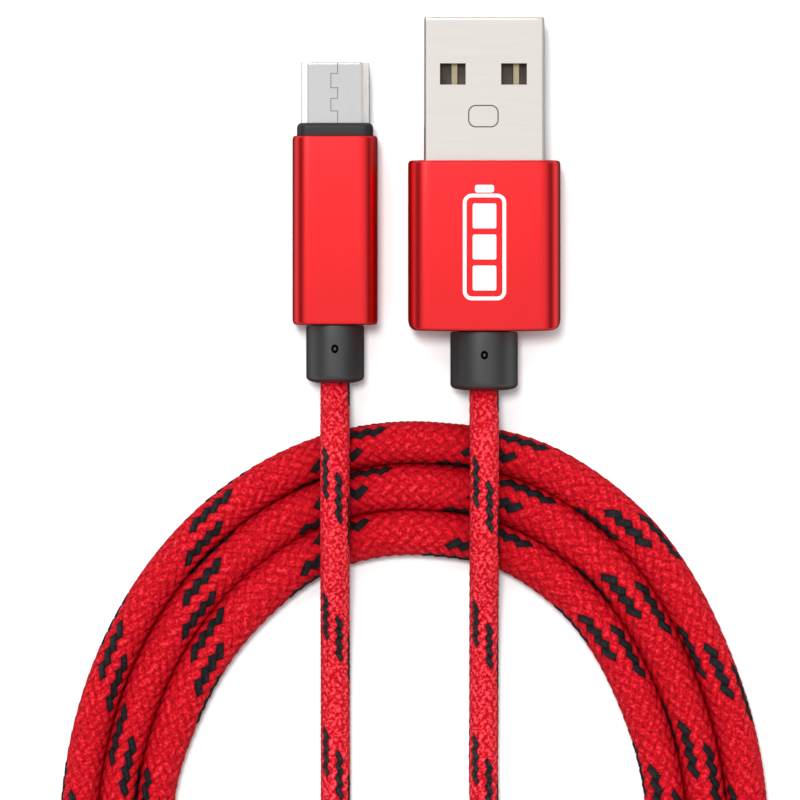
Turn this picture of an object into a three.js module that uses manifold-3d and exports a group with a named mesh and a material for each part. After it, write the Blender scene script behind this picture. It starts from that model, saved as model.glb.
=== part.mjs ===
// A braided charging cable, about one metre from tip to tip: a Type-A plug and a Micro-B plug,
// each in a metal housing with a round collar, joined by one round braided cord.
//
// The cable lies on a table. Millimetres: +X to the right, +Y towards both plugs' noses, +Z up
// from the table. The origin is on the table, in the middle of the two plugs. Behind the plugs
// the cord lies in an oval coil of three turns, and both of its ends cross over the coil.
import * as THREE from "three";
import { mergeVertices } from "three/addons/utils/BufferGeometryUtils.js";
import Module from "manifold-3d";

const wasm = await Module();
wasm.setup();

// ---------------------------------------------------------------- driving dimensions, mm

// Type-A plug, along +Y. Its shell is the standard 12.0 x 4.5 mm.
const A_AXIS_X = 5.775;
const A_NOSE_Y = 18.6;
const A_HOUSING_FRONT_Y = 4.3;
const A_HOUSING_REAR_Y = -12.7;
const A_COLLAR_REAR_Y = -18.6;
const A_HOUSING_WIDTH = 15.2;
const A_HOUSING_HEIGHT = 7.6;
const A_HOUSING_CORNER = 2.0;
const A_HOUSING_WALL = 0.7;
const A_SHELL_WIDTH = 12.0;
const A_SHELL_HEIGHT = 4.5;
const A_SHELL_WALL = 0.3;
const A_COLLAR_DIAMETER = 6.75;
const A_AXIS_Z = A_HOUSING_HEIGHT / 2;
const A_SHELL_REAR_Y = -0.2;

// Windows through both wide sides of the Type-A shell, where a port's springs catch.
const A_WINDOW_WIDTH = 2.6;
const A_WINDOW_X = 3.07;
const A_WINDOW_Y = [11.83, 14.03];

// The Type-A contacts lie on a block that fills the shell's lower half. The outer two reach
// further forward. Each is listed as its X and its front end's Y.
const A_BLOCK_WIDTH = 11.0;
const A_BLOCK_TOP_Z = -0.1;
const A_BLOCK_Y = [0.9, 18.2];
const A_CONTACT_WIDTH = 1.0;
const A_CONTACT_THICKNESS = 0.2;
const A_CONTACT_REAR_Y = 9.2;
const A_CONTACTS = [[-3.2, 17.0], [-1.0, 16.0], [1.0, 16.0], [3.2, 17.0]];

// Micro-B plug, along +Y. Its shell is the standard 6.85 x 1.8 mm.
const B_AXIS_X = -9.125;
const B_NOSE_Y = 14.2;
const B_FRONT_COLLAR_Y = 8.1;
const B_HOUSING_FRONT_Y = 6.8;
const B_HOUSING_REAR_Y = -12.05;
const B_COLLAR_REAR_Y = -17.85;
const B_HOUSING_WIDTH = 8.5;
const B_HOUSING_HEIGHT = 6.4;
const B_HOUSING_CORNER = 1.7;
const B_HOUSING_WALL = 0.6;
const B_SHELL_WIDTH = 6.85;
const B_SHELL_TOP_WIDTH = 5.1;
const B_SHELL_HEIGHT = 1.8;
const B_SHELL_WALL = 0.25;
const B_COLLAR_DIAMETER = 5.8;
const B_AXIS_Z = B_HOUSING_HEIGHT / 2;
const B_SHELL_REAR_Y = 3.0;
const B_BEVEL_START_Z = 0.05;

// Five contacts under a thin block in the upper half of the Micro-B shell.
const B_BLOCK_WIDTH = 3.7;
const B_BLOCK_Y = [3.6, 13.7];
const B_BLOCK_Z = [0.12, 0.6];
const B_CONTACT_X = [-1.3, -0.65, 0, 0.65, 1.3];
const B_CONTACT_WIDTH = 0.36;
const B_CONTACT_Y = [7.5, 13.2];
const B_CONTACT_Z = [-0.06, 0.1];

// Two spring arms under the Micro-B block, with hooks that stand 0.3 mm out of two slots.
const LATCH_X = 2.3;
const LATCH_WIDTH = 0.6;
const LATCH_ARM_Y = [4.6, 13.0];
const LATCH_ARM_Z = [-0.58, -0.34];
const LATCH_HOOK_SIDE = [[10.9, -0.45], [12.8, -0.45], [11.75, -1.2], [11.45, -1.2]];
const LATCH_SLOT_Y = [10.4, 13.1];
const LATCH_SLOT_CLEARANCE = 0.12;

// The cord: thinner where it is drawn tight behind the plugs, fuller in the coil.
const LEAD_DIAMETER = 3.1;
const COIL_CORD_DIAMETER = 4.0;

// The coil's three turns, as centrelines of an oval that is longer towards -Y.
const COIL_X = -1.3;
const COIL_Y = -64;
const INNER_TURN_HALF_WIDTH = 25.5;
const INNER_TURN_UPPER = 31.2;
const OUTER_TURN_LOWER = 64;
const SIDE_PITCH = 4.05;
const UPPER_PITCH = 4.5;
const LOWER_PITCH = 4.6;
const TURN_STEPS = 2;
const COIL_EDGE_ROUND = 1.9;

// Clearances: between pieces that sit in each other, and between pieces that only touch.
const FIT = 0.15;
const TOUCH = 0.05;

// How far a cutter runs past the face that it opens.
const PAST = 1;

// The inner moulds: from the housing's rear to theirs, and how far their cavity for the wires
// runs past the jacket's front end.
const MOULD_TO_REAR = 1.4;
const CAVITY_BEHIND_JACKET = 0.4;

const CORNER_SEGMENTS = 5;
const ROUND_SEGMENTS = 24;

// The cord's route behind each plug, chosen by hand: it leaves the collar, rises over the coil's
// upper turns and comes down inside the oval. Lead B then bends round to the innermost turn.
const LEAD_B_ROUTE = [
  [-9.125, -18.15, 3.2], [-9.125, -20.2, 3.65], [-9.125, -22.6, 4.95], [-9.125, -25.2, 5.75],
  [-9.125, -28.5, 5.9], [-9.125, -32.5, 5.85], [-9.125, -36.5, 5.1], [-9.125, -41, 3.5],
  [-9.125, -46, 2.1], [-9.125, -52, 1.65], [-9.125, -60, 1.6], [-9.4, -70, 1.7],
  [-10.2, -80, 1.85], [-11.2, -90, 1.95], [-11.5, -98, 2], [-10.3, -105, 2],
  [-6.6, -111.2, 2],
];

// Lead A comes off the outermost turn, passes over the others in a long low hump, and goes
// up the oval to the Type-A plug. It is listed from its plug, as lead B is.
const LEAD_A_ROUTE = [
  [5.775, -18.9, 3.95], [5.775, -21.6, 4.75], [5.775, -24.4, 5.65], [5.775, -27.5, 5.9],
  [5.775, -32, 5.85], [5.775, -36, 5.2], [5.775, -40, 3.7], [5.775, -45, 2.2],
  [5.775, -51, 1.65], [5.775, -59, 1.6], [6.2, -67, 1.7], [6.9, -76, 1.85],
  [7.3, -85, 2.05], [7.4, -93, 2.8], [7.2, -101, 4.5], [6.4, -108.5, 5.9],
  [4.2, -115.2, 6.2], [-0.6, -120.6, 6.2], [-7.6, -122.6, 6.2], [-14.5, -120.9, 6.2],
];

// ---------------------------------------------------------------- materials

function material(color, roughness, metalness) {
  return new THREE.MeshStandardMaterial({ color, roughness, metalness });
}

const RED_METAL = material(0xe02226, 0.38, 0.55);
const STEEL = material(0xe6dfd6, 0.32, 0.9);
const BLACK_PLASTIC = material(0x1a1a1c, 0.45, 0);
const DARK_INSULATOR = material(0x2a211c, 0.6, 0);
const INNER_PLASTIC = material(0xd9d4c8, 0.6, 0);
const GOLD = material(0xd8b25a, 0.3, 0.95);
const RED_BRAID = material(0xc4152a, 0.8, 0);
const BLACK_JACKET = material(0x202022, 0.6, 0);
const WIRE_COLOURS = [
  material(0xc8202a, 0.5, 0),
  material(0xeeeeea, 0.5, 0),
  material(0x2c8a3c, 0.5, 0),
  material(0x18181a, 0.5, 0),
];

// ---------------------------------------------------------------- shapes and solids

// A rectangle with rounded corners, centred on the origin.
function roundedRect(width, height, radius) {
  const shape = new THREE.Shape();
  const x = width / 2 - radius;
  const y = height / 2 - radius;
  shape.absarc(x, y, radius, 0, Math.PI / 2);
  shape.absarc(-x, y, radius, Math.PI / 2, Math.PI);
  shape.absarc(-x, -y, radius, Math.PI, 1.5 * Math.PI);
  shape.absarc(x, -y, radius, 1.5 * Math.PI, 2 * Math.PI);
  return shape;
}

// A regular polygon round the origin, as a cord's or a wire's section.
function roundSection(diameter, sides) {
  const shape = new THREE.Shape();
  for (let i = 0; i < sides; i++) {
    const angle = ((i + 0.5) / sides) * 2 * Math.PI;
    const x = (diameter / 2) * Math.cos(angle);
    const y = (diameter / 2) * Math.sin(angle);
    if (i === 0) shape.moveTo(x, y);
    else shape.lineTo(x, y);
  }
  shape.closePath();
  return shape;
}

// The Micro-B shell's section: full width below, and narrower above its two bevels.
function microSection(inset) {
  const half = B_SHELL_WIDTH / 2 - inset;
  const topHalf = B_SHELL_TOP_WIDTH / 2 - inset * 0.4;
  const top = B_SHELL_HEIGHT / 2 - inset;
  const bevelStart = B_BEVEL_START_Z - inset * 0.4;
  const shape = new THREE.Shape();
  shape.moveTo(-half, -top);
  shape.lineTo(half, -top);
  shape.lineTo(half, bevelStart);
  shape.lineTo(topHalf, top);
  shape.lineTo(-topHalf, top);
  shape.lineTo(-half, bevelStart);
  shape.closePath();
  return shape;
}

// A section in X and Z, extruded along Y from front (the higher Y) to rear.
function prism(shape, front, rear) {
  const geometry = new THREE.ExtrudeGeometry(shape, {
    depth: front - rear,
    bevelEnabled: false,
    curveSegments: CORNER_SEGMENTS,
  });
  geometry.rotateX(Math.PI / 2);
  geometry.translate(0, front, 0);
  return geometry;
}

// The same, with the rear edge rounded by the given radius.
function roundedRearPrism(shape, front, rear, radius) {
  const geometry = new THREE.ExtrudeGeometry(shape, {
    depth: front - rear - radius,
    bevelThickness: radius,
    bevelSize: radius,
    bevelOffset: -radius,
    bevelSegments: 3,
    curveSegments: CORNER_SEGMENTS,
  });
  geometry.rotateX(Math.PI / 2);
  geometry.translate(0, front, 0);
  const reach = 40;
  const beyondFront = box([-reach, reach], [front, front + reach], [-reach, reach]);
  return cut(geometry, beyondFront);
}

// The limits of a width round its middle.
function around(middle, width) {
  return [middle - width / 2, middle + width / 2];
}

// A box from its limits along each axis.
function box(x, y, z) {
  const geometry = new THREE.BoxGeometry(x[1] - x[0], y[1] - y[0], z[1] - z[0]);
  geometry.translate((x[0] + x[1]) / 2, (y[0] + y[1]) / 2, (z[0] + z[1]) / 2);
  return geometry;
}

// A body of revolution about the Y axis. The profile is [radius, y] pairs that close on themselves.
function turned(profile) {
  const points = [...profile, profile[0]].map(([radius, y]) => new THREE.Vector2(radius, y));
  return new THREE.LatheGeometry(points, ROUND_SEGMENTS);
}

// A tube of the given section along a smooth curve through the points.
function tube(points, section, steps) {
  const route = new THREE.CatmullRomCurve3(points.map((point) => new THREE.Vector3(...point)));
  return new THREE.ExtrudeGeometry(section, { steps, extrudePath: route, curveSegments: 4 });
}

function solidOf(geometry) {
  const bare = geometry.clone();
  bare.deleteAttribute("normal");
  bare.deleteAttribute("uv");
  const merged = mergeVertices(bare, 1e-4);
  const mesh = new wasm.Mesh({
    numProp: 3,
    vertProperties: merged.attributes.position.array,
    triVerts: new Uint32Array(merged.index.array),
  });
  return new wasm.Manifold(mesh);
}

function geometryOf(solid) {
  const mesh = solid.getMesh();
  const geometry = new THREE.BufferGeometry();
  geometry.setAttribute("position", new THREE.BufferAttribute(mesh.vertProperties, 3));
  geometry.setIndex(new THREE.BufferAttribute(mesh.triVerts, 1));
  return geometry;
}

// The first geometry with the others cut out of it.
function cut(geometry, ...cutters) {
  let solid = solidOf(geometry);
  for (const cutter of cutters) solid = solid.subtract(solidOf(cutter));
  return geometryOf(solid);
}

// The geometries joined into one.
function join(...geometries) {
  return geometryOf(geometries.map(solidOf).reduce((all, next) => all.add(next)));
}

function addMesh(group, name, geometry, finish) {
  const mesh = new THREE.Mesh(geometry, finish);
  mesh.name = name;
  group.add(mesh);
}

// ---------------------------------------------------------------- pieces that both plugs have

// A deep cup of metal: open at the front, with a hole in its rear wall for the collar's neck.
function housing(width, height, corner, wall, front, rear, neckDiameter) {
  const rearWall = 1.2;
  const rearRound = 0.9;
  const outer = roundedRearPrism(roundedRect(width, height, corner), front, rear, rearRound);
  const inner = roundedRect(width - 2 * wall, height - 2 * wall, corner - wall);
  const neckHole = roundSection(neckDiameter + 2 * FIT, ROUND_SEGMENTS);
  return cut(
    outer,
    prism(inner, front + PAST, rear + rearWall),
    prism(neckHole, front, rear - PAST),
  );
}

// The round collar behind a housing: its neck sits in the housing's rear wall.
function collar(diameter, neckDiameter, holeDiameter, front, rear) {
  const radius = diameter / 2;
  const neck = 0.9;
  const round = 0.35;
  return turned([
    [holeDiameter / 2, rear],
    [radius - 1.2, rear],
    [radius - round, rear + round],
    [radius, rear + 2 * round],
    [radius, front],
    [neckDiameter / 2, front],
    [neckDiameter / 2, front + neck],
    [holeDiameter / 2, front + neck],
  ]);
}

// Four insulated conductors, from the contacts' tails to the cord's jacket.
function addWires(group, prefix, tailPitch, tailY, jacketY, tailZ) {
  const wireDiameter = 0.7;
  const spread = 0.45;
  const middleY = (tailY + jacketY) / 2;
  WIRE_COLOURS.forEach((colour, i) => {
    const tailX = (i - 1.5) * tailPitch;
    const outer = i === 0 || i === 3;
    const endX = i < 2 ? -spread : spread;
    const endZ = outer ? spread : -spread;
    const route = [
      [tailX, tailY, tailZ],
      [tailX, tailY - 1.2, tailZ],
      [(tailX + endX) / 2, middleY, (tailZ + endZ) / 2],
      [endX, jacketY + 1.2, endZ],
      [endX, jacketY, endZ],
    ];
    const wire = tube(route, roundSection(wireDiameter, 6), 8);
    addMesh(group, `${prefix}_wire_${i + 1}`, wire, colour);
  });
}

// The cord's own jacket inside the collar and the housing.
function addJacketEnd(group, prefix, front, rear) {
  const jacket = prism(roundSection(LEAD_DIAMETER, 16), front, rear);
  addMesh(group, `${prefix}_jacket_end`, jacket, BLACK_JACKET);
}

// ---------------------------------------------------------------- Type-A plug

function typeAShell() {
  const outerCorner = 0.5;
  const innerCorner = 0.25;
  const innerWidth = A_SHELL_WIDTH - 2 * A_SHELL_WALL;
  const innerHeight = A_SHELL_HEIGHT - 2 * A_SHELL_WALL;
  const outline = roundedRect(A_SHELL_WIDTH, A_SHELL_HEIGHT, outerCorner);
  const mouth = roundedRect(innerWidth, innerHeight, innerCorner);
  const windows = [-A_WINDOW_X, A_WINDOW_X].map((x) =>
    box(around(x, A_WINDOW_WIDTH), A_WINDOW_Y, [-A_SHELL_HEIGHT, A_SHELL_HEIGHT]),
  );
  return cut(
    prism(outline, A_NOSE_Y, A_SHELL_REAR_Y),
    prism(mouth, A_NOSE_Y + PAST, A_SHELL_REAR_Y - PAST),
    ...windows,
  );
}

function typeAPlug() {
  const plug = new THREE.Group();
  plug.position.set(A_AXIS_X, 0, A_AXIS_Z);
  const neckDiameter = 5.0;
  const jacketFront = -8.6;
  const plateY = [2.9, 4.1];
  const mouldFront = 2.75;
  const mouldRear = A_HOUSING_REAR_Y + MOULD_TO_REAR;
  const cavityHalfWidth = 4.4;
  const cavityHalfHeight = 1.6;
  const lining = A_HOUSING_WALL + FIT;
  const cordHole = LEAD_DIAMETER + 2 * FIT;

  addMesh(plug, "type_a_shell", typeAShell(), STEEL);

  const shellFloor = A_SHELL_WALL - A_SHELL_HEIGHT / 2;
  const block = box(around(0, A_BLOCK_WIDTH), A_BLOCK_Y, [shellFloor + TOUCH, A_BLOCK_TOP_Z]);
  addMesh(plug, "type_a_contact_block", block, DARK_INSULATOR);

  const contactUnder = A_BLOCK_TOP_Z + 0.02;
  const contactZ = [contactUnder, contactUnder + A_CONTACT_THICKNESS];
  A_CONTACTS.forEach(([x, front], i) => {
    const pad = box(around(x, A_CONTACT_WIDTH), [A_CONTACT_REAR_Y, front], contactZ);
    addMesh(plug, `type_a_contact_${i + 1}`, pad, GOLD);
  });

  const liningWidth = A_HOUSING_WIDTH - 2 * lining;
  const liningHeight = A_HOUSING_HEIGHT - 2 * lining;
  const liningSection = roundedRect(liningWidth, liningHeight, A_HOUSING_CORNER - lining);
  const shellHole = roundedRect(A_SHELL_WIDTH + 2 * FIT, A_SHELL_HEIGHT + 2 * FIT, 0.5);
  const plate = cut(
    prism(liningSection, plateY[1], plateY[0]),
    prism(shellHole, plateY[1] + PAST, plateY[0] - PAST),
  );
  addMesh(plug, "type_a_front_plate", plate, BLACK_PLASTIC);

  const mould = cut(
    prism(liningSection, mouldFront, mouldRear),
    prism(shellHole, mouldFront + PAST, A_SHELL_REAR_Y - 0.2),
    box(
      [-cavityHalfWidth, cavityHalfWidth],
      [jacketFront - CAVITY_BEHIND_JACKET, mouldFront - PAST],
      [-cavityHalfHeight, cavityHalfHeight],
    ),
    prism(roundSection(cordHole, 16), 0, mouldRear - PAST),
  );
  addMesh(plug, "type_a_inner_mould", mould, INNER_PLASTIC);

  addWires(plug, "type_a", 2.0, A_BLOCK_Y[0] - 0.2, jacketFront + 0.1, -0.9);
  addJacketEnd(plug, "type_a", jacketFront, A_COLLAR_REAR_Y + 0.1);

  const cup = housing(
    A_HOUSING_WIDTH,
    A_HOUSING_HEIGHT,
    A_HOUSING_CORNER,
    A_HOUSING_WALL,
    A_HOUSING_FRONT_Y,
    A_HOUSING_REAR_Y,
    neckDiameter,
  );
  addMesh(plug, "type_a_housing", cup, RED_METAL);

  const collarFront = A_HOUSING_REAR_Y - TOUCH;
  const sleeve = collar(A_COLLAR_DIAMETER, neckDiameter, cordHole, collarFront, A_COLLAR_REAR_Y);
  addMesh(plug, "type_a_collar", sleeve, BLACK_PLASTIC);
  return plug;
}

// ---------------------------------------------------------------- Micro-B plug

function microShell() {
  const slotWidth = LATCH_WIDTH + 2 * LATCH_SLOT_CLEARANCE;
  const slotZ = [-B_SHELL_HEIGHT, B_SHELL_WALL - B_SHELL_HEIGHT / 2 + 0.25];
  const slots = [-LATCH_X, LATCH_X].map((x) => box(around(x, slotWidth), LATCH_SLOT_Y, slotZ));
  return cut(
    prism(microSection(0), B_NOSE_Y, B_SHELL_REAR_Y),
    prism(microSection(B_SHELL_WALL), B_NOSE_Y + PAST, B_SHELL_REAR_Y - PAST),
    ...slots,
  );
}

// A spring arm along the shell's wide side, with its hook.
function latch(x) {
  const arm = box(around(x, LATCH_WIDTH), LATCH_ARM_Y, LATCH_ARM_Z);
  const profile = new THREE.Shape(LATCH_HOOK_SIDE.map(([y, z]) => new THREE.Vector2(z, y)));
  const hook = new THREE.ExtrudeGeometry(profile, { depth: LATCH_WIDTH, bevelEnabled: false });
  hook.applyMatrix4(new THREE.Matrix4().makeBasis(
    new THREE.Vector3(0, 0, 1),
    new THREE.Vector3(0, 1, 0),
    new THREE.Vector3(-1, 0, 0),
  ));
  hook.translate(x + LATCH_WIDTH / 2, 0, 0);
  return join(arm, hook);
}

function microPlug() {
  const plug = new THREE.Group();
  plug.position.set(B_AXIS_X, 0, B_AXIS_Z);
  const neckDiameter = 4.3;
  const jacketFront = -7.4;
  const mouldFront = B_HOUSING_FRONT_Y - 0.1;
  const mouldRear = B_HOUSING_REAR_Y + MOULD_TO_REAR;
  const cavityHalfWidth = 2.6;
  const cavityHalfHeight = 1.2;
  const lining = B_HOUSING_WALL + FIT;
  const cordHole = LEAD_DIAMETER + 2 * FIT;

  addMesh(plug, "micro_b_shell", microShell(), STEEL);
  const block = box(around(0, B_BLOCK_WIDTH), B_BLOCK_Y, B_BLOCK_Z);
  addMesh(plug, "micro_b_contact_block", block, DARK_INSULATOR);
  B_CONTACT_X.forEach((x, i) => {
    const pad = box(around(x, B_CONTACT_WIDTH), B_CONTACT_Y, B_CONTACT_Z);
    addMesh(plug, `micro_b_contact_${i + 1}`, pad, GOLD);
  });
  addMesh(plug, "micro_b_latch_left", latch(-LATCH_X), STEEL);
  addMesh(plug, "micro_b_latch_right", latch(LATCH_X), STEEL);

  const shellHole = microSection(-FIT);
  const frontCollarRear = B_HOUSING_FRONT_Y + TOUCH;
  const frontCollar = cut(
    prism(roundedRect(7.6, 5.3, 1.1), B_FRONT_COLLAR_Y, frontCollarRear),
    prism(shellHole, B_FRONT_COLLAR_Y + PAST, frontCollarRear - PAST),
  );
  addMesh(plug, "micro_b_front_collar", frontCollar, BLACK_PLASTIC);

  const liningWidth = B_HOUSING_WIDTH - 2 * lining;
  const liningHeight = B_HOUSING_HEIGHT - 2 * lining;
  const liningSection = roundedRect(liningWidth, liningHeight, B_HOUSING_CORNER - lining);
  const mould = cut(
    prism(liningSection, mouldFront, mouldRear),
    prism(shellHole, mouldFront + PAST, B_SHELL_REAR_Y - 0.2),
    box(
      [-cavityHalfWidth, cavityHalfWidth],
      [jacketFront - CAVITY_BEHIND_JACKET, B_SHELL_REAR_Y + PAST],
      [-cavityHalfHeight, cavityHalfHeight],
    ),
    prism(roundSection(cordHole, 16), 0, mouldRear - PAST),
  );
  addMesh(plug, "micro_b_inner_mould", mould, INNER_PLASTIC);

  addWires(plug, "micro_b", 0.9, B_BLOCK_Y[0] - 0.2, jacketFront + 0.1, 0.1);
  addJacketEnd(plug, "micro_b", jacketFront, B_COLLAR_REAR_Y + 0.1);

  const cup = housing(
    B_HOUSING_WIDTH,
    B_HOUSING_HEIGHT,
    B_HOUSING_CORNER,
    B_HOUSING_WALL,
    B_HOUSING_FRONT_Y,
    B_HOUSING_REAR_Y,
    neckDiameter,
  );
  addMesh(plug, "micro_b_housing", cup, RED_METAL);

  const collarFront = B_HOUSING_REAR_Y - TOUCH;
  const sleeve = collar(B_COLLAR_DIAMETER, neckDiameter, cordHole, collarFront, B_COLLAR_REAR_Y);
  addMesh(plug, "micro_b_collar", sleeve, BLACK_PLASTIC);
  return plug;
}

// ---------------------------------------------------------------- the cord

// Two half-ellipses, round the coil's outside or round its inside.
function oval(path, halfWidth, upper, lower) {
  path.absellipse(COIL_X, COIL_Y, halfWidth, upper, 0, Math.PI);
  path.absellipse(COIL_X, COIL_Y, halfWidth, lower, Math.PI, 2 * Math.PI);
  return path;
}

// The outer shape of the three turns lying side by side: an oval ring, one cord thick.
function coil() {
  const radius = COIL_CORD_DIAMETER / 2;
  const halfWidth = INNER_TURN_HALF_WIDTH;
  const innerLower = OUTER_TURN_LOWER - TURN_STEPS * LOWER_PITCH;
  const ring = oval(
    new THREE.Shape(),
    halfWidth + TURN_STEPS * SIDE_PITCH + radius,
    INNER_TURN_UPPER + TURN_STEPS * UPPER_PITCH + radius,
    OUTER_TURN_LOWER + radius,
  );
  const hole = oval(
    new THREE.Path(),
    halfWidth - radius,
    INNER_TURN_UPPER - radius,
    innerLower - radius,
  );
  ring.holes.push(hole);
  const geometry = new THREE.ExtrudeGeometry(ring, {
    depth: COIL_CORD_DIAMETER - 2 * COIL_EDGE_ROUND,
    bevelThickness: COIL_EDGE_ROUND,
    bevelSize: COIL_EDGE_ROUND,
    bevelOffset: -COIL_EDGE_ROUND,
    bevelSegments: 3,
    curveSegments: 12,
  });
  geometry.translate(0, 0, COIL_EDGE_ROUND);
  return geometry;
}

function addCord(group) {
  const section = roundSection(LEAD_DIAMETER, 8);
  addMesh(group, "cord_lead_a", tube(LEAD_A_ROUTE, section, 42), RED_BRAID);
  addMesh(group, "cord_lead_b", tube(LEAD_B_ROUTE, section, 34), RED_BRAID);
  addMesh(group, "cord_coil", coil(), RED_BRAID);
}

// ---------------------------------------------------------------- assembly

const cable = new THREE.Group();
cable.name = "charging_cable";
cable.add(typeAPlug());
cable.add(microPlug());
addCord(cable);

export default cable;
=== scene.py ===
"""The look of a braided charging cable: its cord and its two plugs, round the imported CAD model."""
import math

import bmesh
import bpy
import numpy as np
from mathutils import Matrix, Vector


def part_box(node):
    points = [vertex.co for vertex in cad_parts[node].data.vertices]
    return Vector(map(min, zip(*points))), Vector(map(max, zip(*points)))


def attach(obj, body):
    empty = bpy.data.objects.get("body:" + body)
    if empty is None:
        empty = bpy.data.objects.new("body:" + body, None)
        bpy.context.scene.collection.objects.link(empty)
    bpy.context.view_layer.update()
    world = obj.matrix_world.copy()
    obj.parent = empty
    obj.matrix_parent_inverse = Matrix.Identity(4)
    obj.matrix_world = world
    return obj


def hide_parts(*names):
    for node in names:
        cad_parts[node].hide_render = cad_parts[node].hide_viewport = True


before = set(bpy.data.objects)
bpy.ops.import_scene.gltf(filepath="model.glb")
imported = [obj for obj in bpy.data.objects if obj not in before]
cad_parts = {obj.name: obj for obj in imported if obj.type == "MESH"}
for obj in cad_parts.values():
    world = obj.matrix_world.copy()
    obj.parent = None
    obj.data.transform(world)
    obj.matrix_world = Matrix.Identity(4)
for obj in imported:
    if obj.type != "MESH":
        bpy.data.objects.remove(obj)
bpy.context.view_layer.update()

MM = 0.001
UP = Vector((0, 0, 1))
SHARP_DEG = 35

# ---------------------------------------------------------------- camera

# The camera is straight above, far off with a long lens.
VIEW_CENTRE = Vector((-2.63, -19.57, 4.0)) * MM
VIEW_WIDTH = 80 * MM
LENS = 300
SENSOR = 36

camera_data = bpy.data.cameras.new("camera")
camera_data.lens = LENS
camera_data.sensor_width = SENSOR
camera_data.clip_end = 10
camera = bpy.data.objects.new("camera", camera_data)
camera.location = VIEW_CENTRE + UP * (VIEW_WIDTH * LENS / SENSOR)
bpy.context.scene.collection.objects.link(camera)
bpy.context.scene.camera = camera

# ---------------------------------------------------------------- mesh helpers


def new_object(name, mesh):
    obj = bpy.data.objects.new(name, mesh)
    bpy.context.scene.collection.objects.link(obj)
    return obj


def mesh_of(name, vertices, quads, uvs=None, smooth=True, **attributes):
    """A mesh of vertices (n, 3) and quads (m, 4), with (u, v) and attributes for each vertex."""
    mesh = bpy.data.meshes.new(name)
    vertices = np.asarray(vertices, np.float32).reshape(-1, 3)
    quads = np.asarray(quads, np.int32).reshape(-1, 4)
    mesh.vertices.add(len(vertices))
    mesh.vertices.foreach_set("co", vertices.ravel())
    mesh.loops.add(quads.size)
    mesh.loops.foreach_set("vertex_index", quads.ravel())
    mesh.polygons.add(len(quads))
    mesh.polygons.foreach_set("loop_start", np.arange(0, quads.size, 4, dtype=np.int32))
    if uvs is not None:
        layer = mesh.uv_layers.new(name="yarn")
        layer.uv.foreach_set("vector", np.asarray(uvs, np.float32)[quads.ravel()].ravel())
    for key, values in attributes.items():
        mesh.attributes.new(key, "FLOAT", "POINT").data.foreach_set("value", values)
    mesh.update(calc_edges=True)
    mesh.validate()
    if smooth:
        mesh.shade_smooth()
    return mesh


SHARES_OF_SIDE = (0.04, 0.35, 0.65, 0.96)


def rounded_outline(corners, radius, steps=8):
    """The outline of a convex polygon with rounded corners, and points along its straight sides."""
    corners = [Vector(corner) for corner in corners]
    arcs = []
    for before, here, after in zip(corners[-1:] + corners, corners, corners[1:] + corners[:1]):
        back = (before - here).normalized()
        ahead = (after - here).normalized()
        half = back.angle(ahead) / 2
        centre = here + (back + ahead).normalized() * (radius / math.sin(half))
        start = here + back * (radius / math.tan(half)) - centre
        turn = math.pi - 2 * half
        arcs.append([
            centre + Vector((
                start.x * math.cos(turn * k / steps) - start.y * math.sin(turn * k / steps),
                start.x * math.sin(turn * k / steps) + start.y * math.cos(turn * k / steps),
            ))
            for k in range(steps + 1)
        ])
    outline = []
    for arc, following in zip(arcs, arcs[1:] + arcs[:1]):
        outline += arc
        outline += [arc[-1].lerp(following[0], share) for share in SHARES_OF_SIDE]
    return [(point.x, point.y) for point in outline]


def rounded_rectangle(width, height, radius, steps=8):
    x, z = width / 2, height / 2
    return rounded_outline([(x, -z), (x, z), (-x, z), (-x, -z)], radius, steps)


def circle(radius, steps=72):
    turns = [2 * math.pi * k / steps for k in range(steps)]
    return [(radius * math.cos(turn), radius * math.sin(turn)) for turn in turns]


def ring(outline, y):
    """An outline in X and Z, placed across the plug's axis at y."""
    return [(x, y, z) for x, z in outline]


def skin(rings, cyclic=False):
    """Vertices and faces of a skin through rings that have the same number of points."""
    count = len(rings[0])
    vertices = [point for one in rings for point in one]
    faces = []
    for i in range(len(rings) if cyclic else len(rings) - 1):
        here, there = i * count, (i + 1) % len(rings) * count
        for k in range(count):
            after = (k + 1) % count
            faces.append((here + k, here + after, there + after, there + k))
    if not cyclic:
        faces.append(tuple(range(count)))
        faces.append(tuple(range((len(rings) - 1) * count, len(rings) * count)))
    return vertices, faces


def block(x, y, z):
    """Vertices and faces of a box, from its limits along each axis."""
    corners = [(x[0], z[0]), (x[1], z[0]), (x[1], z[1]), (x[0], z[1])]
    return skin([ring(corners, y[0]), ring(corners, y[1])])


def solid(name, parts, axis, finish=None):
    """One object from skins in millimetres round a plug's axis, which is at (x, z)."""
    mesh = bpy.data.meshes.new(name)
    vertices, faces = [], []
    for part_vertices, part_faces in parts:
        first = len(vertices)
        vertices += [
            ((x + axis[0]) * MM, y * MM, (z + axis[1]) * MM) for x, y, z in part_vertices
        ]
        faces += [tuple(first + k for k in face) for face in part_faces]
    mesh.from_pydata(vertices, [], faces)
    edit = bmesh.new()
    edit.from_mesh(mesh)
    bmesh.ops.recalc_face_normals(edit, faces=edit.faces)
    edit.to_mesh(mesh)
    edit.free()
    if finish:
        mesh.materials.append(finish)
    shade(mesh)
    return new_object(name, mesh)


def shade(mesh):
    """Smooth shading, with an edge left sharp where its faces meet at more than the sharp angle."""
    mesh.shade_smooth()
    mesh.set_sharp_from_angle(angle=math.radians(SHARP_DEG))


def bake_modifiers(obj):
    """Turns an object's modifiers into its mesh."""
    depsgraph = bpy.context.evaluated_depsgraph_get()
    mesh = bpy.data.meshes.new_from_object(obj.evaluated_get(depsgraph))
    obj.modifiers.clear()
    obj.data = mesh


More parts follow.
